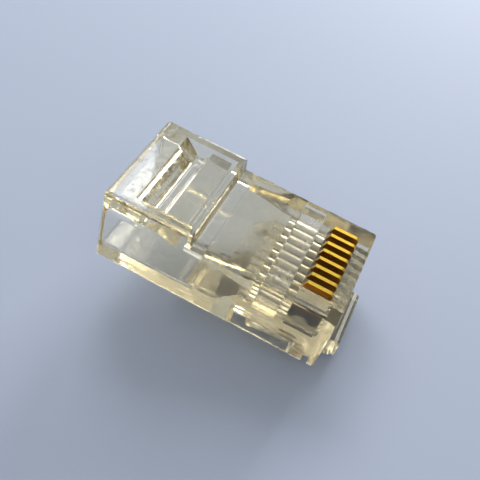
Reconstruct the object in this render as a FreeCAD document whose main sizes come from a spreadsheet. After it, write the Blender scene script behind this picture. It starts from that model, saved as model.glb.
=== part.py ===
import FreeCAD, Part
import math
import os
import re
import Sketcher

# An 8-position modular plug for round cable, not yet crimped: one clear moulded housing,
# its spring latch, the two strain-relief members that fold or sink in when the plug is
# crimped, and eight contact blades standing proud of their slots.
#
# Every piece is drawn in the plug's level frame, in millimetres: X runs from the cable
# entry (x = 0) to the nose, Y across, Z up from the latch side of the body (z = 0) to the
# contact side. The finished plug is then pitched nose down as it lies on its own latch.

SIZES = (
    # housing, outside
    ("body_width", 11.68),
    ("body_length", 21.9),
    ("front_height", 6.6),
    ("rear_height", 8.05),
    ("rear_length", 8.2),
    ("step_run", 0.22),
    ("rear_edge_radius", 0.45),
    ("mould_edge_radius", 0.28),
    # cable chamber and funnel
    ("side_wall", 1.14),
    ("floor_height", 0.95),
    ("chamber_roof", 5.9),
    ("chamber_corner", 0.6),
    ("mouth_flare", 0.3),
    ("mouth_depth", 0.65),
    ("jacket_stop", 0.35),
    ("funnel_start", 9.45),
    ("funnel_waist", 11.5),
    ("funnel_roof", 5.3),
    ("comb_roof", 4.5),
    ("trough_start", 13.4),
    # wire channels
    ("comb_start", 14.2),
    ("channel_end", 20.9),
    ("channel_height", 3.3),
    ("channel_size", 0.92),
    # contact blades and their slots
    ("contact_count", 8),
    ("contact_pitch", 1.02),
    ("blade_thickness", 0.35),
    ("slot_width", 0.43),
    ("blade_rear", 17.85),
    ("blade_front", 20.55),
    ("blade_top", 7.25),
    ("blade_slope_run", 0.3),
    ("arch_height", 4.4),
    ("prong_height", 4.2),
    ("rear_prong_width", 0.75),
    ("front_prong_width", 1.2),
    ("tine_tip_height", 3.8),
    ("blade_corner_radius", 0.3),
    ("crimp_travel", 1.2),
    ("slot_end_gap", 0.06),
    ("ramp_top", 5.75),
    ("ramp_bottom", 4.7),
    # conductor clamp and its window
    ("clamp_window_rear", 14.86),
    ("clamp_window_front", 17.0),
    ("clamp_window_wall", 0.54),
    ("clamp_gap", 0.06),
    ("clamp_top", 6.35),
    ("clamp_bottom", 4.45),
    ("clamp_notch_depth", 0.5),
    # cable anchor and its window
    ("anchor_window_rear", 2.5),
    ("anchor_window_front", 7.75),
    ("anchor_slope_run", 1.35),
    ("anchor_slope_drop", 1.4),
    ("anchor_gap", 0.1),
    ("anchor_hinge_radius", 0.35),
    ("anchor_hinge_height", 6.27),
    ("anchor_top", 7.65),
    ("anchor_web_run", 0.45),
    ("anchor_toe_height", 5.4),
    ("anchor_length", 3.05),
    # nose and latch
    ("nose_width", 6.25),
    ("nose_reach", 1.3),
    ("nose_height", 1.25),
    ("nose_radius", 0.45),
    ("hinge_drop", 0.6),
    ("hinge_radius", 0.5),
    ("hinge_gap", 0.02),
    ("hinge_setback", 0.75),
    ("latch_angle", 9),
    ("latch_length", 14.6),
    ("shoulder_length", 7.8),
    ("shoulder_width", 6.05),
    ("lever_width", 3.25),
    ("lever_thickness", 0.95),
    ("thumb_ridge", 0.25),
    ("thumb_length", 0.9),
    # mould details of the underside and the sides
    ("pocket_start", 13.2),
    ("pocket_end", 19.6),
    ("pocket_width", 1.7),
    ("pocket_wall", 0.69),
    ("pocket_depth", 1.5),
    ("notch_start", 20.65),
    ("notch_length", 0.6),
    ("notch_height", 1.05),
    ("notch_depth", 0.9),
    # worked out from the sizes above
    ("chamber_width", "=body_width - 2 * side_wall"),
    ("clamp_window_width", "=body_width - 2 * clamp_window_wall"),
    ("pocket_offset", "=body_width / 2 - pocket_wall - pocket_width / 2"),
)
ALIASES = {alias for alias, value in SIZES}
OVERSHOOT = 1.0


# ---------------------------------------------------------------- sheet and expressions

def make_sheet(doc):
    """The spreadsheet of driving dimensions."""
    sheet = doc.addObject("Spreadsheet::Sheet", "Sizes")
    for row, (alias, value) in enumerate(SIZES, start=1):
        sheet.set(f"A{row}", alias)
        sheet.set(f"B{row}", str(value))
        sheet.setAlias(f"B{row}", alias)
    doc.recompute()
    return sheet


def bound(formula):
    """The formula with every size name pointed at its cell in the sheet."""
    return re.sub(r"[a-z_]+", lambda word: "Sizes." + word.group()
                  if word.group() in ALIASES else word.group(), formula)


def value_of(owner, formula):
    """What the formula is worth now, as a plain number."""
    return float(owner.evalExpression(bound(formula)))


def bind(owner, **formulas):
    """Bind properties of a feature to formulas in the sheet's sizes."""
    for name, formula in formulas.items():
        owner.setExpression(name, bound(formula))


# ---------------------------------------------------------------- sketches and features

def new_sketch(body, name, role, offset="0"):
    """An empty sketch on one of the body's own origin planes, moved along its normal."""
    sketch = body.newObject("Sketcher::SketchObject", name)
    plane = next(item for item in body.Origin.OriginFeatures if item.Role == role)
    sketch.AttachmentSupport = [(plane, "")]
    sketch.MapMode = "FlatFace"
    sketch.setExpression("AttachmentOffset.Base.z", bound(offset))
    return sketch


def fix_point(sketch, edge, end, across, along):
    """Hold one point of the sketch at two formulas, measured from the origin."""
    for kind, axis, formula in (("DistanceX", -2, across), ("DistanceY", -1, along)):
        if formula == "0":
            sketch.addConstraint(Sketcher.Constraint("PointOnObject", edge, end, axis))
            continue
        size = value_of(sketch, formula)
        index = sketch.addConstraint(Sketcher.Constraint(kind, -1, 1, edge, end, size))
        sketch.setExpression(f"Constraints[{index}]", bound(formula))


def draw_outline(sketch, corners):
    """A closed outline of straight edges through the corners."""
    spots = [FreeCAD.Vector(value_of(sketch, across), value_of(sketch, along), 0)
             for across, along in corners]
    first = sketch.GeometryCount
    count = len(spots)
    for index in range(count):
        sketch.addGeometry(Part.LineSegment(spots[index], spots[(index + 1) % count]))
    for index in range(count):
        after = first + (index + 1) % count
        sketch.addConstraint(Sketcher.Constraint("Coincident", first + index, 2, after, 1))
    for index, (across, along) in enumerate(corners):
        fix_point(sketch, first + index, 1, across, along)


def draw_circle(sketch, across, along, radius):
    """A circle held by its centre and its radius."""
    centre = FreeCAD.Vector(value_of(sketch, across), value_of(sketch, along), 0)
    edge = sketch.addGeometry(Part.Circle(centre, FreeCAD.Vector(0, 0, 1),
                                          value_of(sketch, radius)))
    index = sketch.addConstraint(Sketcher.Constraint("Radius", edge,
                                                     value_of(sketch, radius)))
    sketch.setExpression(f"Constraints[{index}]", bound(radius))
    fix_point(sketch, edge, 3, across, along)


def outline(body, name, role, corners, offset="0"):
    """A sketch that holds one closed outline."""
    sketch = new_sketch(body, name, role, offset)
    draw_outline(sketch, corners)
    return sketch


def circle(body, name, role, across, along, radius, offset="0"):
    """A sketch that holds one circle."""
    sketch = new_sketch(body, name, role, offset)
    draw_circle(sketch, across, along, radius)
    return sketch


def rectangle(low_x, low_y, high_x, high_y):
    """The four corners of a rectangle, as formulas."""
    return ((low_x, low_y), (high_x, low_y), (high_x, high_y), (low_x, high_y))


def extrude(body, kind, name, sketch, length, side="Symmetric"):
    """A Pad or a Pocket of the sketch, which must change the body's volume."""
    before = body.Shape.Volume if body.Tip and not body.Shape.isNull() else 0.0
    feature = body.newObject("PartDesign::" + kind, name)
    feature.Profile = sketch
    feature.SideType = side
    bind(feature, Length=length)
    body.Document.recompute()
    if abs(body.Shape.Volume - before) < 1e-6:
        raise RuntimeError(f"{body.Label}: {name} changes nothing")
    return feature


def edge_names(base, chosen):
    """The names of the edges of a feature for which chosen(edge) is true."""
    names = [f"Edge{index}" for index, edge in enumerate(base.Shape.Edges, start=1)
             if chosen(edge)]
    if not names:
        raise RuntimeError(f"{base.Label}: no edge is chosen")
    return names


def treat_edges(body, kind, name, chosen, **sizes):
    """A Fillet or a Chamfer on the chosen edges of the body."""
    base = body.Tip
    names = edge_names(base, chosen)
    feature = body.newObject("PartDesign::" + kind, name)
    feature.Base = (base, names)
    bind(feature, **sizes)
    body.Document.recompute()


def round_edges(body, name, radius, chosen):
    """Round the chosen edges."""
    treat_edges(body, "Fillet", name, chosen, Radius=radius)


def bevel_edges(body, name, size, chosen):
    """Bevel the chosen edges."""
    treat_edges(body, "Chamfer", name, chosen, Size=size)


def runs_along(edge, axis):
    """True when the edge is straight and parallel to the axis, given as 0, 1 or 2."""
    box = edge.BoundBox
    spans = [box.XLength, box.YLength, box.ZLength]
    return spans.pop(axis) > 0.01 and max(spans) < 0.001


# ---------------------------------------------------------------- housing

def add_hull(body):
    """The outer block: tall over the cable, lower over the contacts, edges rounded."""
    profile = outline(body, "HullProfile", "XZ_Plane", (
        ("0", "0"),
        ("0", "rear_height"),
        ("rear_length", "rear_height"),
        ("rear_length + step_run", "front_height"),
        ("body_length", "front_height"),
        ("body_length", "0")))
    extrude(body, "Pad", "Hull", profile, "body_width")
    rear_height = value_of(body, "rear_height")
    body_length = value_of(body, "body_length")

    def rear_top(edge):
        box = edge.BoundBox
        return box.XMin < 0.01 and (box.ZMin > rear_height - 0.01 or runs_along(edge, 2))

    def front_or_lower(edge):
        box = edge.BoundBox
        return box.XMin > body_length - 0.01 or (box.ZMax < 0.01 and runs_along(edge, 0))

    round_edges(body, "RearEdges", "rear_edge_radius", rear_top)
    round_edges(body, "MouldEdges", "mould_edge_radius", front_or_lower)


def add_nose(body):
    """The lip at the front of the latch side, with the round seat of the latch's hinge."""
    root_x = "body_length + nose_reach - hinge_setback"
    tip_x = "body_length + nose_reach"
    profile = outline(body, "NoseProfile", "XZ_Plane", (
        ("body_length - nose_reach", "nose_height * 0.5"),
        ("body_length - nose_reach", "0"),
        (root_x, "0"),
        (root_x, "-hinge_drop"),
        (tip_x, "-hinge_drop"),
        (tip_x, "nose_height"),
        ("body_length - nose_reach", "nose_height")))
    extrude(body, "Pad", "Nose", profile, "nose_width")
    tip = value_of(body, tip_x)
    height = value_of(body, "nose_height")

    def tip_top(edge):
        box = edge.BoundBox
        return box.XMin > tip - 0.01 and box.ZMin > height - 0.01

    round_edges(body, "NoseEdge", "nose_radius", tip_top)
    seat = circle(body, "HingeSeatProfile", "XZ_Plane", root_x, "-hinge_drop",
                  "hinge_radius + hinge_gap")
    extrude(body, "Pocket", "HingeSeat", seat, "nose_width * 2")


def cut_through(body, name, sections):
    """Cut away what lies between upright sections, with flat faces from one to the next."""
    loft = body.newObject("PartDesign::SubtractiveLoft", name)
    loft.Profile = sections[0]
    loft.Sections = sections[1:]
    loft.Ruled = True
    body.Document.recompute()


def upright_sections(body, name, stations):
    """Rectangular sections across the plug: each at an x, with half width and z limits."""
    return [outline(body, f"{name}{index}", "YZ_Plane",
                    rectangle(f"-({half})", low, half, high), station)
            for index, (station, half, low, high) in enumerate(stations, start=1)]


def add_chamber(body):
    """The cable chamber: rounded inside, flared at the mouth, open at the rear."""
    section = outline(body, "ChamberProfile", "YZ_Plane", rectangle(
        "-chamber_width / 2", "floor_height", "chamber_width / 2", "chamber_roof"),
        "funnel_start")
    extrude(body, "Pocket", "Chamber", section, "funnel_start * 1.1", "One side")
    half_width = value_of(body, "chamber_width / 2")
    roof = value_of(body, "chamber_roof")

    def chamber_corner(edge):
        box = edge.BoundBox
        return (runs_along(edge, 0) and abs(abs(box.YMin) - half_width) < 0.01
                and 0.01 < box.ZMin < roof + 0.01)

    round_edges(body, "ChamberCorners", "chamber_corner", chamber_corner)
    cut_through(body, "MouthFlare", upright_sections(body, "MouthSection", (
        ("0", "chamber_width / 2 + mouth_flare", "floor_height / 2",
         "chamber_roof + mouth_flare"),
        ("mouth_depth", "chamber_width / 2 - jacket_stop", "floor_height + jacket_stop",
         "chamber_roof - jacket_stop"))))


def add_funnel(body):
    """The funnel that gathers the eight wires, from the jacket stop to their troughs."""
    comb_half = "(contact_pitch * (contact_count - 1) + channel_size) / 2"
    stop_half = "(chamber_width / 2 - jacket_stop)"
    cut_through(body, "Funnel", upright_sections(body, "FunnelSection", (
        ("funnel_start", stop_half, "floor_height + jacket_stop", "funnel_roof"),
        ("funnel_waist", f"({stop_half} * 0.6 + {comb_half} * 0.4)",
         "floor_height + jacket_stop", "funnel_roof * 0.6 + comb_roof * 0.4"),
        ("trough_start", comb_half, "channel_height", "comb_roof"),
        ("comb_start", comb_half, "channel_height", "comb_roof"))))


def add_contact_slots(body):
    """A wire's trough and round channel, a blade slot and its front ramp, repeated."""
    first_y = "contact_pitch * (contact_count - 1) / 2"
    channel_profile = circle(body, "ChannelProfile", "YZ_Plane", f"-{first_y}",
                             "channel_height", "channel_size / 2", "channel_end")
    channel = extrude(body, "Pocket", "Channel", channel_profile,
                      "channel_end - trough_start", "One side")
    slot_profile = outline(body, "SlotProfile", "XZ_Plane", rectangle(
        "blade_rear - slot_end_gap", "tine_tip_height - crimp_travel - slot_end_gap",
        "blade_front + slot_end_gap", f"front_height + {OVERSHOOT}"), first_y)
    slot = extrude(body, "Pocket", "Slot", slot_profile, "slot_width")
    ramp_profile = outline(body, "RampProfile", "XZ_Plane", (
        ("blade_front", "ramp_top"),
        (f"body_length + {OVERSHOOT}", "ramp_bottom"),
        (f"body_length + {OVERSHOOT}", f"front_height + {OVERSHOOT}"),
        ("blade_front", f"front_height + {OVERSHOOT}")), first_y)
    ramp = extrude(body, "Pocket", "Ramp", ramp_profile, "slot_width")
    pattern = body.newObject("PartDesign::LinearPattern", "ContactRow")
    pattern.Originals = [channel, slot, ramp]
    pattern.Direction = (next(item for item in body.Origin.OriginFeatures
                              if item.Role == "Y_Axis"), [""])
    bind(pattern, Length="contact_pitch * (contact_count - 1)", Occurrences="contact_count")
    body.Tip = pattern
    body.Document.recompute()


def add_windows(body):
    """The two windows in the contact side, for the cable anchor and the clamp."""
    over_top = f"rear_height + {OVERSHOOT}"
    wall = "anchor_window_rear + anchor_slope_run"
    into_chamber = "chamber_roof - chamber_corner"
    anchor_window = outline(body, "AnchorWindowProfile", "XZ_Plane", (
        (wall, into_chamber),
        (wall, "rear_height - anchor_slope_drop"),
        ("anchor_window_rear", "rear_height"),
        ("anchor_window_rear", over_top),
        ("anchor_window_front", over_top),
        ("anchor_window_front", into_chamber)))
    extrude(body, "Pocket", "AnchorWindow", anchor_window, "chamber_width")
    clamp_window = outline(body, "ClampWindowProfile", "XY_Plane", rectangle(
        "clamp_window_rear", "-clamp_window_width / 2",
        "clamp_window_front", "clamp_window_width / 2"), "front_height")
    extrude(body, "Pocket", "ClampWindow", clamp_window,
            "front_height - channel_height", "One side")


def add_mould_details(body):
    """The cored pockets in the underside and the small notches beside the nose."""
    for name, side in (("Left", "1"), ("Right", "-1")):
        middle = f"{side} * pocket_offset"
        reach = "pocket_width / 2"
        sketch = new_sketch(body, f"{name}PocketProfile", "XY_Plane")
        draw_outline(sketch, rectangle("pocket_start", f"{middle} - {reach}",
                                       "pocket_end", f"{middle} + {reach}"))
        pocket = extrude(body, "Pocket", f"{name}Pocket", sketch, "pocket_depth * 2")
        pocket_start = value_of(body, "pocket_start")
        pocket_end = value_of(body, "pocket_end")

        def pocket_end_edge(edge):
            box = edge.BoundBox
            on_side = box.Center.y * float(side) > 0
            at_end = (abs(box.Center.x - pocket_start) < 0.01
                      or abs(box.Center.x - pocket_end) < 0.01)
            return on_side and at_end and runs_along(edge, 2)

        body.Tip = pocket
        round_edges(body, f"{name}PocketEnds", "pocket_width * 0.45", pocket_end_edge)
        notch = outline(body, f"{name}NotchProfile", "XZ_Plane", rectangle(
            "notch_start", f"-{OVERSHOOT}", "notch_start + notch_length", "notch_height"),
            f"{side} * body_width / 2")
        extrude(body, "Pocket", f"{name}Notch", notch, "notch_depth * 2")


def make_housing(doc):
    """The clear moulding that carries every other piece."""
    body = doc.addObject("PartDesign::Body", "housing")
    add_hull(body)
    add_nose(body)
    add_chamber(body)
    add_funnel(body)
    add_contact_slots(body)
    add_windows(body)
    add_mould_details(body)
    return body


# ---------------------------------------------------------------- moving pieces

def make_latch(doc):
    """The spring latch, drawn straight, with its hinge at the origin of its own frame."""
    body = doc.addObject("PartDesign::Body", "latch")
    ridge_start = "-(latch_length - thumb_length)"
    top = "lever_thickness - hinge_radius"
    profile = outline(body, "LeverProfile", "XZ_Plane", (
        ("0", "-hinge_radius"),
        ("0", top),
        ("-latch_length", top),
        ("-latch_length", "-hinge_radius"),
        (f"{ridge_start} - thumb_length * 0.7", "-hinge_radius - thumb_ridge"),
        (f"{ridge_start}", "-hinge_radius - thumb_ridge"),
        (f"{ridge_start} + thumb_length * 0.6", "-hinge_radius")))
    extrude(body, "Pad", "Lever", profile, "lever_width")
    shoulder = outline(body, "ShoulderProfile", "XZ_Plane", rectangle(
        "-shoulder_length", "-hinge_radius", "0", top))
    extrude(body, "Pad", "Shoulder", shoulder, "shoulder_width")
    root = circle(body, "RootProfile", "XZ_Plane", "0", "0", "hinge_radius")
    extrude(body, "Pad", "Root", root, "shoulder_width")
    return body


def make_anchor(doc):
    """The cable anchor: a wedge on a thick web, drawn from its hinge."""
    body = doc.addObject("PartDesign::Body", "cable_anchor")
    width = "chamber_width - 2 * anchor_gap"
    top = "anchor_top - anchor_hinge_height"
    toe = "anchor_toe_height - anchor_hinge_height"
    web = "anchor_hinge_radius"
    profile = outline(body, "WedgeProfile", "XZ_Plane", (
        ("0", f"-{web}"),
        ("0", web),
        ("anchor_web_run", web),
        ("anchor_web_run * 2.3", top),
        ("anchor_length", top),
        ("anchor_length", web),
        ("anchor_length * 0.9", toe),
        ("anchor_length * 0.75", toe),
        ("anchor_length * 0.3", f"-{web}")))
    extrude(body, "Pad", "Wedge", profile, width)
    root = circle(body, "WedgeRootProfile", "XZ_Plane", "0", "0", web)
    extrude(body, "Pad", "WedgeRoot", root, width)
    return body


def make_clamp(doc):
    """The conductor clamp: a bar across the wires, with a round notch over each wire."""
    body = doc.addObject("PartDesign::Body", "conductor_clamp")
    half = "clamp_window_width / 2 - clamp_gap"
    plan = outline(body, "BarProfile", "XY_Plane", rectangle(
        "clamp_window_rear + clamp_gap", f"-({half})",
        "clamp_window_front - clamp_gap", half), "clamp_bottom")
    extrude(body, "Pad", "Bar", plan, "clamp_top - clamp_bottom", "One side")
    notch_profile = circle(body, "WireNotchProfile", "YZ_Plane",
                           "-contact_pitch * (contact_count - 1) / 2",
                           "clamp_bottom - channel_size / 2 + clamp_notch_depth",
                           "channel_size / 2", "clamp_window_front")
    notch = extrude(body, "Pocket", "WireNotch", notch_profile,
                    "clamp_window_front - clamp_window_rear", "One side")
    row = body.newObject("PartDesign::LinearPattern", "WireNotches")
    row.Originals = [notch]
    row.Direction = (next(item for item in body.Origin.OriginFeatures
                          if item.Role == "Y_Axis"), [""])
    bind(row, Length="contact_pitch * (contact_count - 1)", Occurrences="contact_count")
    body.Tip = row
    doc.recompute()
    return body


def blade_corners():
    """A contact blade's outline: a sloped rear shoulder and two piercing prongs."""
    return (
        ("blade_rear", "prong_height"),
        ("blade_rear", "front_height - 0.1"),
        ("blade_rear + blade_slope_run", "blade_top"),
        ("blade_front", "blade_top"),
        ("blade_front", "prong_height"),
        ("blade_front - front_prong_width * 0.3", "tine_tip_height"),
        ("blade_front - front_prong_width * 0.75", "tine_tip_height"),
        ("blade_front - front_prong_width", "arch_height"),
        ("blade_rear + rear_prong_width", "arch_height"),
        ("blade_rear + rear_prong_width * 0.65", "tine_tip_height"),
        ("blade_rear + rear_prong_width * 0.2", "tine_tip_height"))


def make_contact(doc, index):
    """One contact blade, numbered from the -Y side."""
    body = doc.addObject("PartDesign::Body", f"contact_{index + 1}")
    across = f"contact_pitch * ((contact_count - 1) / 2 - {index})"
    profile = outline(body, f"BladeProfile{index + 1}", "XZ_Plane", blade_corners(), across)
    extrude(body, "Pad", f"Blade{index + 1}", profile, "blade_thickness")
    front = value_of(body, "blade_front")
    top = value_of(body, "blade_top")

    def wiping_corner(edge):
        box = edge.BoundBox
        return box.XMin > front - 0.01 and box.ZMin > top - 0.01

    round_edges(body, f"BladeCorner{index + 1}", "blade_corner_radius", wiping_corner)
    return body


# ---------------------------------------------------------------- assembly

def latch_placement(sheet):
    """The latch's own frame in the plug's level frame: at the hinge, tip hanging down."""
    hinge = FreeCAD.Vector(sheet.body_length + sheet.nose_reach - sheet.hinge_setback, 0,
                           -sheet.hinge_drop)
    return FreeCAD.Placement(hinge, FreeCAD.Rotation(FreeCAD.Vector(0, 1, 0),
                                                     -sheet.latch_angle))


def anchor_placement(sheet):
    """The anchor's own frame: its hinge lies against the foot of the window's slope."""
    wall = sheet.anchor_window_rear + sheet.anchor_slope_run
    return FreeCAD.Placement(
        FreeCAD.Vector(wall + sheet.anchor_hinge_radius + sheet.hinge_gap, 0,
                       sheet.anchor_hinge_height),
        FreeCAD.Rotation())


def rest_pitch(sheet):
    """The angle of the line on which the plug lies, from the latch's tip to its root."""
    ridge = FreeCAD.Vector(
        -(sheet.latch_length - 0.3 * sheet.thumb_length), 0,
        -sheet.hinge_radius - sheet.thumb_ridge)
    latch = latch_placement(sheet)
    arm = latch.Base - latch.multVec(ridge)
    rise = math.atan2(arm.z, arm.x)
    return math.degrees(rise - math.asin(sheet.hinge_radius / arm.Length))


def rest_placement(sheet, bodies):
    """Pitch the plug onto its latch, with the middle of its base on the origin."""
    pitch = FreeCAD.Placement(FreeCAD.Vector(),
                              FreeCAD.Rotation(FreeCAD.Vector(0, 1, 0), rest_pitch(sheet)))
    box = FreeCAD.BoundBox()
    for body in bodies:
        pitched = body.Shape.copy()
        pitched.Placement = pitch.multiply(body.Placement)
        box.add(pitched.optimalBoundingBox(False))
    stand = FreeCAD.Vector(-box.Center.x, -box.Center.y, -box.ZMin)
    return FreeCAD.Placement(stand, FreeCAD.Rotation()).multiply(pitch)


def check(doc, bodies):
    """Stop if a feature has failed or a piece has no valid single solid."""
    failed = [item.Label for item in doc.Objects
              if "Invalid" in item.State or "Error" in item.State]
    if failed:
        raise RuntimeError("failed: " + ", ".join(failed))
    for body in bodies:
        shape = body.Shape
        if shape.isNull() or not shape.isValid() or len(shape.Solids) != 1:
            raise RuntimeError(f"{body.Label}: not one valid solid")


def build():
    doc = FreeCAD.newDocument("modular_plug")
    sheet = make_sheet(doc)
    latch = make_latch(doc)
    anchor = make_anchor(doc)
    bodies = [make_housing(doc), latch, anchor, make_clamp(doc)]
    bodies += [make_contact(doc, index) for index in range(int(sheet.contact_count))]
    latch.Placement = latch_placement(sheet)
    anchor.Placement = anchor_placement(sheet)
    stand = rest_placement(sheet, bodies)
    for body in bodies:
        body.Placement = stand.multiply(body.Placement)
    doc.recompute()
    check(doc, bodies)
    os.makedirs("parts", exist_ok=True)
    for body in bodies:
        body.Shape.exportStep(f"parts/{body.Label}.step")
        print(f"{body.Label}: {body.Shape.Volume:.2f} mm3")
    print(f"level frame: origin {stand.Base.x:.5f} {stand.Base.y:.5f} {stand.Base.z:.5f}, "
          f"pitch {rest_pitch(sheet):.5f} deg")


build()
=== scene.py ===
import math

import bpy
from mathutils import Matrix, Vector

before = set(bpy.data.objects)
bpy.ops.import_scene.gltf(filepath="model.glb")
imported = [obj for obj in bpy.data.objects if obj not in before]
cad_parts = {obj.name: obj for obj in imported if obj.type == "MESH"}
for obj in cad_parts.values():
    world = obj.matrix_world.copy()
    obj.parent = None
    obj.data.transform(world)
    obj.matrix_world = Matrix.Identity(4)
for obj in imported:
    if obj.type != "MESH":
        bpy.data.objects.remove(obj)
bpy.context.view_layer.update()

# ---------------------------------------------------------------- values

MOULDED_NODES = ("housing", "latch", "cable_anchor", "conductor_clamp")
CONTACT_PREFIX = "contact_"

# The plug's own level frame, in which its body lies flat, against the row frame:
# X runs from the cable end to the nose, Y across from the middle, Z up from the underside.
LEVEL_ORIGIN_MM = Vector((-11.519, 0.0, 5.0))
LEVEL_PITCH = math.radians(10.0)
MM_PER_METRE = 1000.0

# Zero to one, as a ramp's values or a mask's span, and the other way round.
RISING = (0.0, 1.0)
FALLING = (1.0, 0.0)

# Where the moulding is cored for the wires and the blades, in level millimetres.
COMB_RISE = (12.0, 15.5)
COMB_FALL = (20.9, 21.4)
COMB_ACROSS = (-4.6, 4.6)
COMB_HEIGHT = (2.0, 6.4)
# The hazier plastic at the front end, under the top face.
FRONT_RISE = (16.5, 18.5)
FRONT_HEIGHT = (0.6, 6.45)
# Half the width over which a mask's side fades.
SOFT_ACROSS = 0.2
SOFT_HEIGHT = 0.1

# Clear polycarbonate. Noise scales count features per metre.
PLASTIC_COLOUR = (0.97, 0.945, 0.865, 1.0)
PLASTIC_IOR = 1.586
SCUFF_SCALE = 1500.0
SCUFF_DETAIL = 6.0
SCUFF_NOISE_ROUGHNESS = 0.7
SCUFF_SPAN = (0.5, 0.6)
HAZE_SCALE = 350.0
HAZE_SPAN = (0.35, 0.7)
POLISHED_ROUGHNESS = (0.02, 0.22)
FRONT_ROUGHNESS = (0.14, 0.22)
COMB_ROUGHNESS = (0.26, 0.38)
COMB_TRANSMISSION = (1.0, 0.92)
RIPPLE_SCALE = 260.0
RIPPLE_DETAIL = 2.0
RIPPLE_STRENGTH = 0.12
RIPPLE_DEPTH = 0.0001
TINT_COLOUR = (1.0, 0.93, 0.68, 1.0)
TINT_DENSITY = 130.0

# The plated contact blades; their flanks carry a painted dark reflection, with painted shade
# lower down.
# FLANK_FACING is how squarely a face looks sideways, and the flanks' height span is in level
# millimetres.
EDGE_GOLD = (0.70, 0.48, 0.05, 1.0)
EDGE_STAIN = (0.52, 0.32, 0.035, 1.0)
STAIN_SCALE = 900.0
STAIN_SPAN = (0.42, 0.62)
# Painted shade and painted dark reflection for the blades' flanks, darker lower down in the
# slots.
FLANK_PAINTED_SHADE = (0.045, 0.028, 0.008, 1.0)
FLANK_PAINTED_REFLECTION = (0.40, 0.155, 0.025, 1.0)
FLANK_PAINTED_SHADE_HEIGHT = (4.8, 5.5)
FLANK_FACING = (0.5, 0.9)
STAIN_WIDE_SPAN = (0.3, 0.7)
BLADE_ROUGHNESS = (0.24, 0.44)

# The floor, in metres from the plug's middle; its distant part is painted paler, a painted
# light that meets the room.
FLOOR_HALF_SIDE = 1.5
FLOOR_NEAR = (0.44, 0.50, 0.63, 1.0)
FLOOR_FAR_PAINTED_LIGHT = (0.86, 0.90, 0.96, 1.0)
FLOOR_PAINTED_LIGHT_FADE = (0.32, 0.6)
FLOOR_ROUGHNESS = 0.7

# Each lamp's place and side in metres and its power in watts; then the room.
LAMPS = {
    "key": (Vector((-0.13, 0.21, 0.26)), 0.16, 0.42),
    "rim": (Vector((0.02, 0.3, 0.12)), 0.14, 0.65),
    "fill": (Vector((0.25, -0.3, 0.25)), 0.3, 0.25),
}
ROOM_COLOUR = (0.96, 0.98, 1.0, 1.0)
ROOM_STRENGTH = 0.45

CAMERA_AZIMUTH = math.radians(18.9)
CAMERA_ELEVATION = math.radians(45.2)
CAMERA_ROLL = math.radians(6.6)
CAMERA_DISTANCE = 0.0632
CAMERA_TARGET = Vector((0.00012, 0.0, 0.00701))
CAMERA_LENS_MM = 52.8
CAMERA_CLIP = (0.001, 10.0)

# Light crosses many clear walls before it leaves the plug.
CLEAR_BOUNCES = 32
GLOSSY_BOUNCES = 12

# ---------------------------------------------------------------- node helpers


def new_material(name):
    """An empty node material, its tree and its output node."""
    material = bpy.data.materials.new(name)
    material.use_nodes = True
    tree = material.node_tree
    tree.nodes.clear()
    output = tree.nodes.new("ShaderNodeOutputMaterial")
    return material, tree, output


def principled(tree, **values):
    """A Principled shader with the given socket values, underscores for spaces."""
    shader = tree.nodes.new("ShaderNodeBsdfPrincipled")
    for name, value in values.items():
        shader.inputs[name.replace("_", " ")].default_value = value
    return shader


def object_noise(tree, scale, detail=4.0, roughness=0.55):
    """Noise laid out in the object's own coordinates."""
    place = tree.nodes.new("ShaderNodeTexCoord")
    noise = tree.nodes.new("ShaderNodeTexNoise")
    noise.inputs["Scale"].default_value = scale
    noise.inputs["Detail"].default_value = detail
    noise.inputs["Roughness"].default_value = roughness
    tree.links.new(place.outputs["Object"], noise.inputs["Vector"])
    return noise.outputs["Fac"]


def ramp(tree, source, span, values=RISING):
    """The source carried from its span to the two values, and held beyond its ends."""
    node = tree.nodes.new("ShaderNodeMapRange")
    names = ("From Min", "From Max", "To Min", "To Max")
    for name, value in zip(names, span + values):
        node.inputs[name].default_value = value
    tree.links.new(source, node.inputs["Value"])
    return node.outputs["Result"]


def multiply(tree, first, second):
    """The product of two values."""
    node = tree.nodes.new("ShaderNodeMath")
    node.operation = "MULTIPLY"
    tree.links.new(first, node.inputs[0])
    tree.links.new(second, node.inputs[1])
    return node.outputs["Value"]


def band(tree, source, span, soft):
    """One where the source lies within the span, fading to zero outside it."""
    low, high = span
    rise = ramp(tree, source, (low - soft, low + soft))
    fall = ramp(tree, source, (high - soft, high + soft), FALLING)
    return multiply(tree, rise, fall)


def mix_value(tree, factor, low, high):
    """Low where the factor is 0, high where it is 1, both sockets."""
    node = tree.nodes.new("ShaderNodeMix")
    tree.links.new(factor, node.inputs[0])
    tree.links.new(low, node.inputs[2])
    tree.links.new(high, node.inputs[3])
    return node.outputs[0]


def mix_colour(tree, factor, low, high):
    """Low where the factor is 0, high where it is 1; each a colour or a socket."""
    node = tree.nodes.new("ShaderNodeMix")
    node.data_type = "RGBA"
    tree.links.new(factor, node.inputs["Factor"])
    for name, value in (("A", low), ("B", high)):
        if isinstance(value, tuple):
            node.inputs[name].default_value = value
        else:
            tree.links.new(value, node.inputs[name])
    return node.outputs["Result"]


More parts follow.
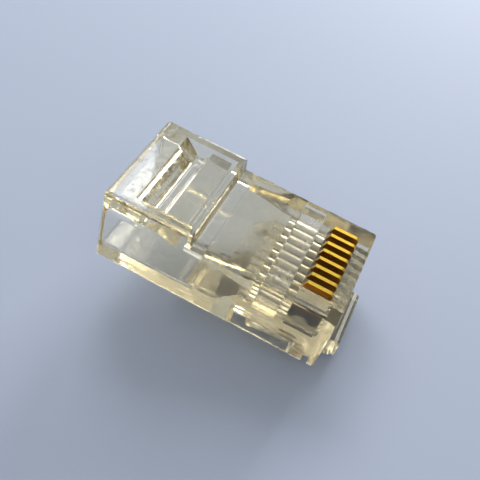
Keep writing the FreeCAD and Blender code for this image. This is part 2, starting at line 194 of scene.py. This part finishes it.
def level_position(tree):
    """X, Y and Z in the plug's own level frame, in millimetres."""
    place = tree.nodes.new("ShaderNodeTexCoord")
    level = tree.nodes.new("ShaderNodeMapping")
    turn = Matrix.Rotation(-LEVEL_PITCH, 3, "Y")
    level.inputs["Scale"].default_value = (MM_PER_METRE, MM_PER_METRE, MM_PER_METRE)
    level.inputs["Rotation"].default_value = (0.0, -LEVEL_PITCH, 0.0)
    level.inputs["Location"].default_value = -(turn @ LEVEL_ORIGIN_MM)
    split = tree.nodes.new("ShaderNodeSeparateXYZ")
    tree.links.new(place.outputs["Object"], level.inputs["Vector"])
    tree.links.new(level.outputs["Vector"], split.inputs["Vector"])
    return split.outputs["X"], split.outputs["Y"], split.outputs["Z"]


# ---------------------------------------------------------------- clear plastic


def comb_mask(tree, along, across, height):
    """One where the moulding is cored, from the funnel's end to the blades' slots."""
    length = multiply(tree, ramp(tree, along, COMB_RISE),
                      ramp(tree, along, COMB_FALL, FALLING))
    section = multiply(tree, band(tree, across, COMB_ACROSS, SOFT_ACROSS),
                       band(tree, height, COMB_HEIGHT, SOFT_HEIGHT))
    return multiply(tree, length, section)


def front_mask(tree, along, height):
    """One at the moulding's front end, under its top face."""
    return multiply(tree, ramp(tree, along, FRONT_RISE),
                    band(tree, height, FRONT_HEIGHT, SOFT_HEIGHT))


def plastic_roughness(tree, front, comb):
    """Polished with small scuffs; hazy at the front end and more so in the comb."""
    spots = object_noise(tree, SCUFF_SCALE, SCUFF_DETAIL, SCUFF_NOISE_ROUGHNESS)
    haze = object_noise(tree, HAZE_SCALE)
    polished = ramp(tree, spots, SCUFF_SPAN, POLISHED_ROUGHNESS)
    hazed = ramp(tree, haze, HAZE_SPAN, FRONT_ROUGHNESS)
    cored = ramp(tree, haze, HAZE_SPAN, COMB_ROUGHNESS)
    return mix_value(tree, comb, mix_value(tree, front, polished, hazed), cored)


def add_ripple(tree, shader):
    """The faint waviness of a moulded face."""
    bump = tree.nodes.new("ShaderNodeBump")
    bump.inputs["Strength"].default_value = RIPPLE_STRENGTH
    bump.inputs["Distance"].default_value = RIPPLE_DEPTH
    tree.links.new(object_noise(tree, RIPPLE_SCALE, RIPPLE_DETAIL), bump.inputs["Height"])
    tree.links.new(bump.outputs["Normal"], shader.inputs["Normal"])


def add_tint(tree, output):
    """A faint yellow that deepens with the thickness of the plastic."""
    tint = tree.nodes.new("ShaderNodeVolumeAbsorption")
    tint.inputs["Color"].default_value = TINT_COLOUR
    tint.inputs["Density"].default_value = TINT_DENSITY
    tree.links.new(tint.outputs["Volume"], output.inputs["Volume"])


def clear_plastic():
    """Clear polycarbonate, faintly yellow, a little milky in the cored comb."""
    material, tree, output = new_material("clear_polycarbonate")
    shader = principled(tree, Base_Color=PLASTIC_COLOUR, IOR=PLASTIC_IOR)
    along, across, height = level_position(tree)
    comb = comb_mask(tree, along, across, height)
    roughness = plastic_roughness(tree, front_mask(tree, along, height), comb)
    tree.links.new(roughness, shader.inputs["Roughness"])
    transmission = ramp(tree, comb, RISING, COMB_TRANSMISSION)
    tree.links.new(transmission, shader.inputs["Transmission Weight"])
    add_ripple(tree, shader)
    tree.links.new(shader.outputs["BSDF"], output.inputs["Surface"])
    add_tint(tree, output)
    return material


# ---------------------------------------------------------------- contacts and floor


def painted_flank_mask(tree):
    """One on the blades' wide side faces, where the painted shade and reflection go, zero on
    their narrow edges.
    """
    place = tree.nodes.new("ShaderNodeTexCoord")
    split = tree.nodes.new("ShaderNodeSeparateXYZ")
    facing = tree.nodes.new("ShaderNodeMath")
    facing.operation = "ABSOLUTE"
    tree.links.new(place.outputs["Normal"], split.inputs["Vector"])
    tree.links.new(split.outputs["Y"], facing.inputs[0])
    return ramp(tree, facing.outputs["Value"], FLANK_FACING)


def contact_gold():
    """Stained gold on the edges; a painted dark brown reflection on the flanks, with painted
    shade lower down.
    """
    material, tree, output = new_material("contact_gold")
    height = level_position(tree)[2]
    # Painted shade and painted reflection: the flanks are painted dark brown, and darker
    # lower down.
    flanks = mix_colour(tree, ramp(tree, height, FLANK_PAINTED_SHADE_HEIGHT), FLANK_PAINTED_SHADE, FLANK_PAINTED_REFLECTION)
    stain = object_noise(tree, STAIN_SCALE)
    edges = mix_colour(tree, ramp(tree, stain, STAIN_SPAN), EDGE_GOLD, EDGE_STAIN)
    shader = principled(tree, Metallic=1.0)
    colour = mix_colour(tree, painted_flank_mask(tree), edges, flanks)
    tree.links.new(colour, shader.inputs["Base Color"])
    roughness = ramp(tree, stain, STAIN_WIDE_SPAN, BLADE_ROUGHNESS)
    tree.links.new(roughness, shader.inputs["Roughness"])
    tree.links.new(shader.outputs["BSDF"], output.inputs["Surface"])
    return material


def floor_material():
    """A pale floor with painted light: it turns paler with distance, so that it meets the
    room.
    """
    material, tree, output = new_material("pale_floor")
    place = tree.nodes.new("ShaderNodeTexCoord")
    distance = tree.nodes.new("ShaderNodeVectorMath")
    distance.operation = "LENGTH"
    tree.links.new(place.outputs["Object"], distance.inputs[0])
    # Painted light: the floor is painted paler with distance from the plug.
    painted_far_light = ramp(tree, distance.outputs["Value"], FLOOR_PAINTED_LIGHT_FADE)
    shader = principled(tree, Roughness=FLOOR_ROUGHNESS)
    colour = mix_colour(tree, painted_far_light, FLOOR_NEAR, FLOOR_FAR_PAINTED_LIGHT)
    tree.links.new(colour, shader.inputs["Base Color"])
    tree.links.new(shader.outputs["BSDF"], output.inputs["Surface"])
    return material


def dress(names, material):
    """Give CAD nodes one material."""
    for name in names:
        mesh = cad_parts[name].data
        mesh.materials.clear()
        mesh.materials.append(material)


# ---------------------------------------------------------------- stage, light, camera


def add_floor():
    """A wide plane under the plug."""
    side = FLOOR_HALF_SIDE
    corners = [(-side, -side, 0), (side, -side, 0), (side, side, 0), (-side, side, 0)]
    mesh = bpy.data.meshes.new("floor")
    mesh.from_pydata(corners, [], [(0, 1, 2, 3)])
    mesh.materials.append(floor_material())
    floor = bpy.data.objects.new("floor", mesh)
    bpy.context.scene.collection.objects.link(floor)


def add_lamp(name, position, size, power):
    """A soft square lamp that faces the plug."""
    data = bpy.data.lights.new(name, "AREA")
    data.shape = "SQUARE"
    data.size = size
    data.energy = power
    lamp = bpy.data.objects.new(name, data)
    bpy.context.scene.collection.objects.link(lamp)
    lamp.location = position
    lamp.rotation_euler = (CAMERA_TARGET - lamp.location).to_track_quat("-Z", "Y").to_euler()


def light_scene():
    """Soft light: a high key and a low rim lamp from behind, a fill and a pale room."""
    for name, (position, size, power) in LAMPS.items():
        add_lamp(name, position, size, power)
    world = bpy.data.worlds.new("studio")
    world.use_nodes = True
    background = world.node_tree.nodes["Background"]
    background.inputs["Color"].default_value = ROOM_COLOUR
    background.inputs["Strength"].default_value = ROOM_STRENGTH
    bpy.context.scene.world = world


def outward(azimuth, elevation):
    """The direction from the plug towards a viewer; azimuth 0 stands on -Y."""
    return Vector((math.sin(azimuth) * math.cos(elevation),
                   -math.cos(azimuth) * math.cos(elevation),
                   math.sin(elevation)))


def add_camera():
    """A slightly rolled camera that looks down on the plug's near side."""
    data = bpy.data.cameras.new("camera")
    data.lens = CAMERA_LENS_MM
    data.clip_start, data.clip_end = CAMERA_CLIP
    camera = bpy.data.objects.new("camera", data)
    bpy.context.scene.collection.objects.link(camera)
    back = outward(CAMERA_AZIMUTH, CAMERA_ELEVATION)
    level_right = Vector((math.cos(CAMERA_AZIMUTH), math.sin(CAMERA_AZIMUTH), 0.0))
    level_up = back.cross(level_right)
    right = level_right * math.cos(CAMERA_ROLL) + level_up * math.sin(CAMERA_ROLL)
    up = back.cross(right)
    turn = Matrix((right, up, back)).transposed().to_4x4()
    camera.matrix_world = Matrix.Translation(CAMERA_TARGET + back * CAMERA_DISTANCE) @ turn
    bpy.context.scene.camera = camera


# ---------------------------------------------------------------- the scene

dress(MOULDED_NODES, clear_plastic())
dress([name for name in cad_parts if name.startswith(CONTACT_PREFIX)], contact_gold())
add_floor()
light_scene()
add_camera()
scene = bpy.context.scene
scene.view_settings.view_transform = "Standard"
scene.cycles.max_bounces = CLEAR_BOUNCES
scene.cycles.transmission_bounces = CLEAR_BOUNCES
scene.cycles.glossy_bounces = GLOSSY_BOUNCES
